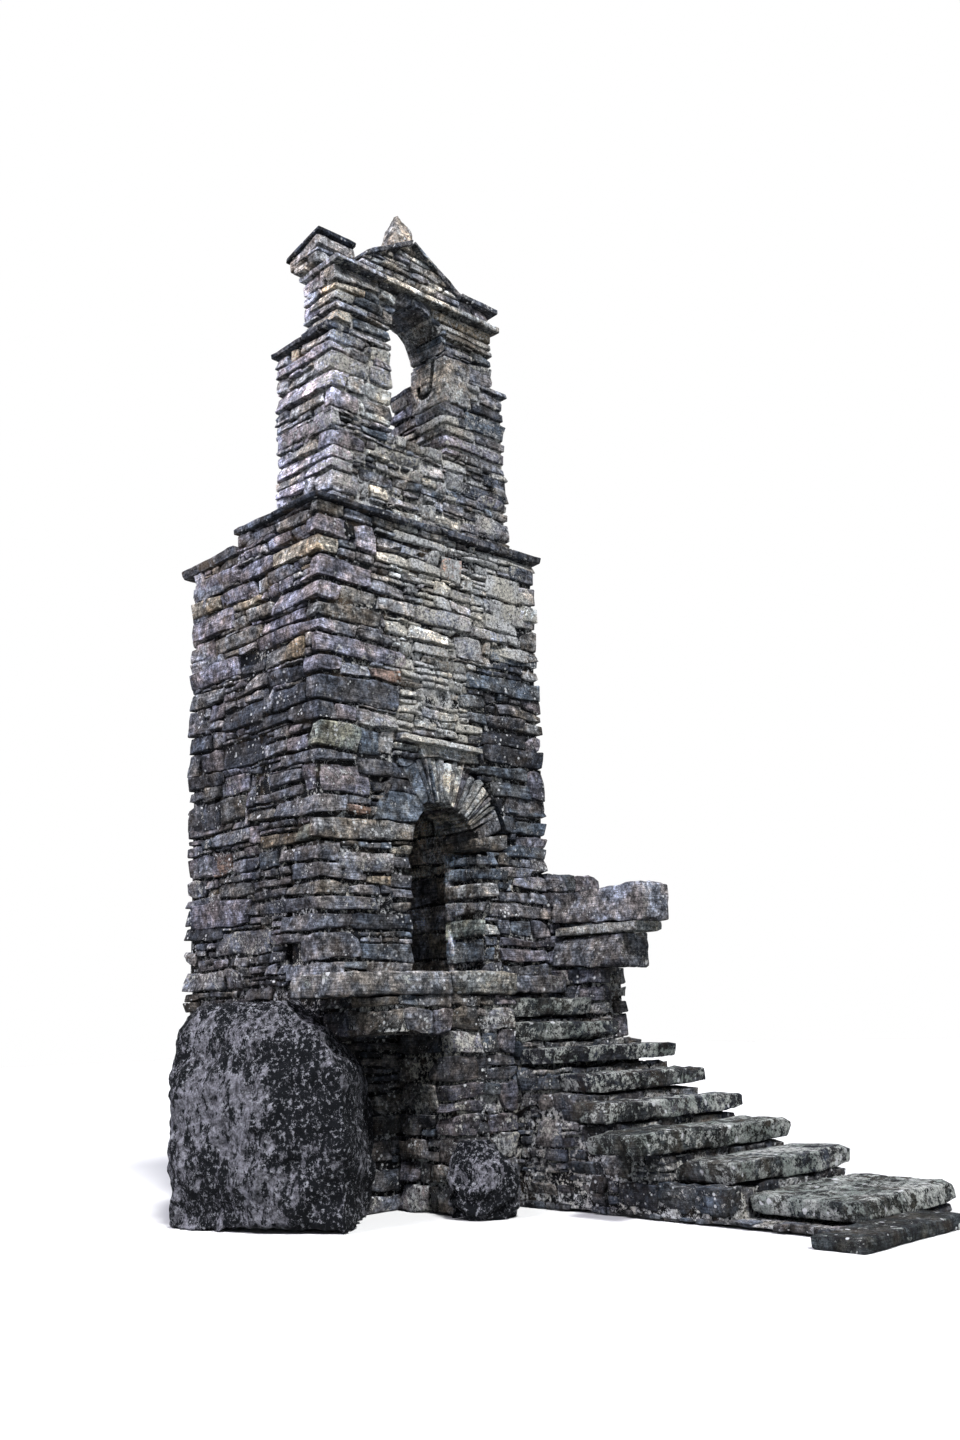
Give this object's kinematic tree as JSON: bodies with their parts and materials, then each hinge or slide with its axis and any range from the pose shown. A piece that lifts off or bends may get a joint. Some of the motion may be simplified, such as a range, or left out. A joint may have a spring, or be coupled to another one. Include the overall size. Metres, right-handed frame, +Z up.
{
  "type": "ruined stone watchtower with a bell gable",
  "caption": "Ruined dry-stone tower on a natural rock, with an arched doorway, slab stair, slab string course, bell opening, low gable and stone finial.",
  "frame": {"origin": "on the ground under the middle of the shaft", "axes": "+Z up, -Y out of the front with the doorway, +X to the right seen from the front"},
  "size_m": [4.84, 6.79, 10.3791],
  "materials": {
    "rubble_masonry": "dry-laid schist rubble, lichened, deep joints",
    "slate_slab": "split slate slabs, dark undersides, lichened edges",
    "voussoir_slate": "thin slates set on edge, rusty and cream",
    "step_slab": "rough stone slabs, pale lichen on the edges",
    "dressed_stone": "weathered dressed stone",
    "natural_rock": "natural rock, mottled pale and black"
  },
  "bodies": {
    "root": {"arch_surround": "rubble_masonry", "back_wall": "rubble_masonry", "band_slabs": "slate_slab", "bell_arch": "rubble_masonry", "bell_base": "rubble_masonry", "bell_pier_left": "rubble_masonry", "bell_pier_right": "rubble_masonry", "bottom_step": "step_slab", "boulder": "natural_rock", "chamber_floor": "step_slab", "cornice_slab": "slate_slab", "door_arch": "voussoir_slate", "finial": "dressed_stone", "foot_boulder": "natural_rock", "footing": "rubble_masonry", "front_wall_left": "rubble_masonry", "front_wall_right": "rubble_masonry", "front_wall_upper": "rubble_masonry", "gable": "rubble_masonry", "groove_stone": "dressed_stone", "landing_bearer": "rubble_masonry", "landing_slab_left": "step_slab", "landing_slab_middle": "step_slab", "landing_slab_right": "step_slab", "left_wall": "rubble_masonry", "rake_slab_left": "slate_slab", "rake_slab_right": "slate_slab", "rear_cap": "slate_slab", "relieving_slab": "slate_slab", "right_wall": "rubble_masonry", "roof_back": "rubble_masonry", "roof_front": "rubble_masonry", "shoulder_block_left": "rubble_masonry", "shoulder_block_right": "rubble_masonry", "shoulder_slab_left": "slate_slab", "shoulder_slab_right": "slate_slab", "side_stub": "rubble_masonry", "stair_core": "rubble_masonry", "stair_treads": "step_slab", "string_course": "slate_slab", "terrace": "rubble_masonry", "upper_pier_left": "rubble_masonry", "upper_pier_right": "rubble_masonry", "wing_block_middle": "rubble_masonry", "wing_block_top": "rubble_masonry", "wing_wall": "rubble_masonry"}
  },
  "joints": []
}
